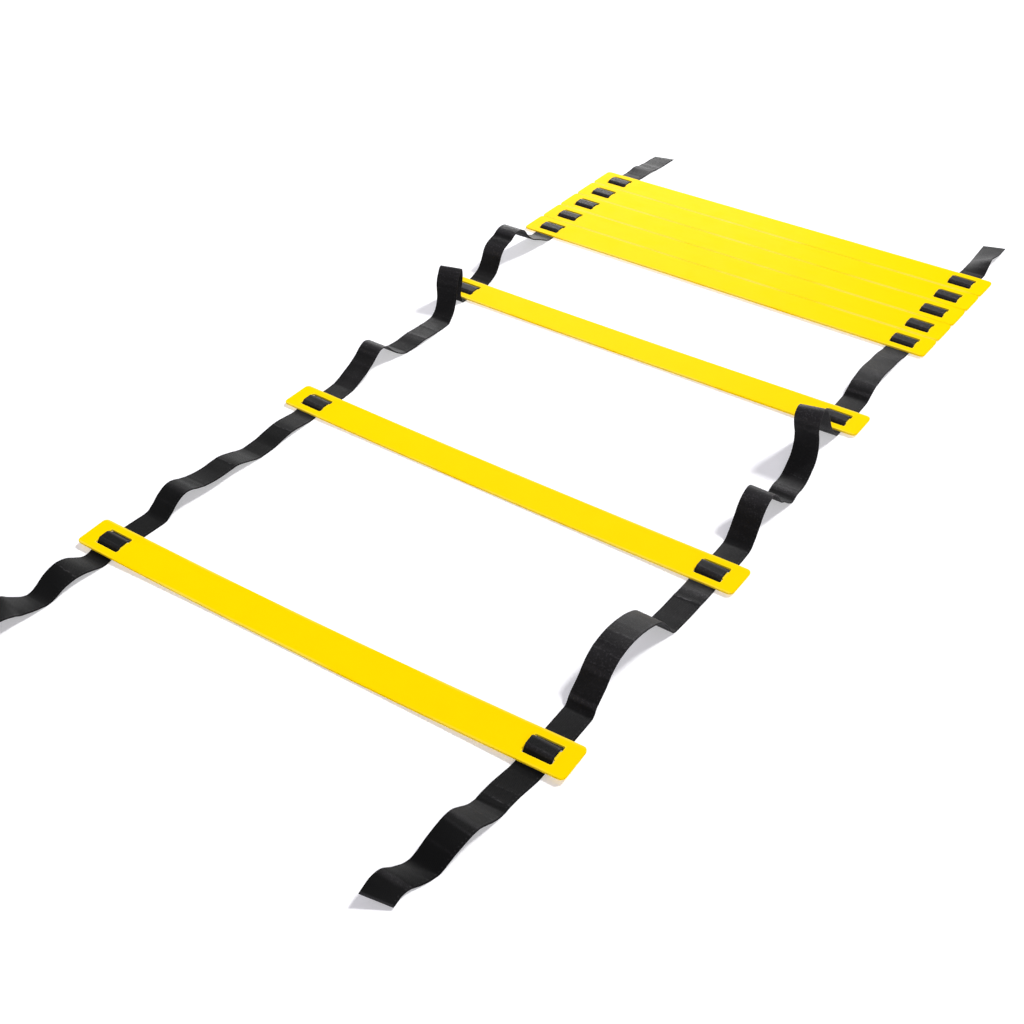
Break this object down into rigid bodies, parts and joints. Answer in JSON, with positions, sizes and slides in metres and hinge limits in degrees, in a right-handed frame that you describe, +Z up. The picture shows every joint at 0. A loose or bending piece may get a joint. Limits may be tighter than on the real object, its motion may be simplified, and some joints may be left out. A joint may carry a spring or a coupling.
{
  "type": "agility ladder",
  "caption": "Flat agility ladder for footwork drills: slotted yellow plastic rungs threaded on black webbing, half opened, with the far rungs pushed together.",
  "frame": {"origin": "middle of the ladder's box seen from above, on the ground it lies on", "axes": "+X along the rungs to the right, +Y along the ladder towards the rungs that are pushed together, +Z up"},
  "size_m": [0.5116, 1.1052, 0.0623],
  "materials": {
    "rung_plastic": "smooth yellow moulded plastic, softly glossy",
    "webbing": "black woven webbing, matt with a slight sheen"
  },
  "bodies": {
    "webbing": {"left_strap": "webbing", "right_strap": "webbing"},
    "rung_1": {"rung_1": "rung_plastic"},
    "rung_2": {"rung_2": "rung_plastic"},
    "rung_3": {"rung_3": "rung_plastic"},
    "rung_4": {"rung_4": "rung_plastic"},
    "rung_5": {"rung_5": "rung_plastic"},
    "rung_6": {"rung_6": "rung_plastic"},
    "rung_7": {"rung_7": "rung_plastic"},
    "rung_8": {"rung_8": "rung_plastic"}
  },
  "joints": [
    {"name": "rung_1_slide", "type": "slide", "parent": "webbing", "child": "rung_1", "axis": [0, 1, 0], "range_m": [-0.08, 0.03], "deforming": ["left_strap", "right_strap"]},
    {"name": "rung_2_slide", "type": "slide", "parent": "rung_1", "child": "rung_2", "axis": [0, 1, 0], "range_m": [-0.19, 0.03], "deforming": ["left_strap", "right_strap"]},
    {"name": "rung_3_slide", "type": "slide", "parent": "rung_2", "child": "rung_3", "axis": [0, 1, 0], "range_m": [-0.208, 0.08], "deforming": ["left_strap", "right_strap"]},
    {"name": "rung_4_slide", "type": "slide", "parent": "rung_3", "child": "rung_4", "axis": [0, 1, 0], "range_m": [-0.114, 0.087], "deforming": ["left_strap", "right_strap"]},
    {"name": "rung_5_slide", "type": "slide", "parent": "rung_4", "child": "rung_5", "axis": [0, 1, 0], "range_m": [0, 0.2147], "deforming": ["left_strap", "right_strap"]},
    {"name": "rung_6_slide", "type": "slide", "parent": "rung_5", "child": "rung_6", "axis": [0, 1, 0], "range_m": [0, 0.2147], "deforming": ["left_strap", "right_strap"]},
    {"name": "rung_7_slide", "type": "slide", "parent": "rung_6", "child": "rung_7", "axis": [0, 1, 0], "range_m": [0, 0.2147], "deforming": ["left_strap", "right_strap"]},
    {"name": "rung_8_slide", "type": "slide", "parent": "rung_7", "child": "rung_8", "axis": [0, 1, 0], "range_m": [0, 0.2147], "deforming": ["left_strap", "right_strap"]}
  ]
}
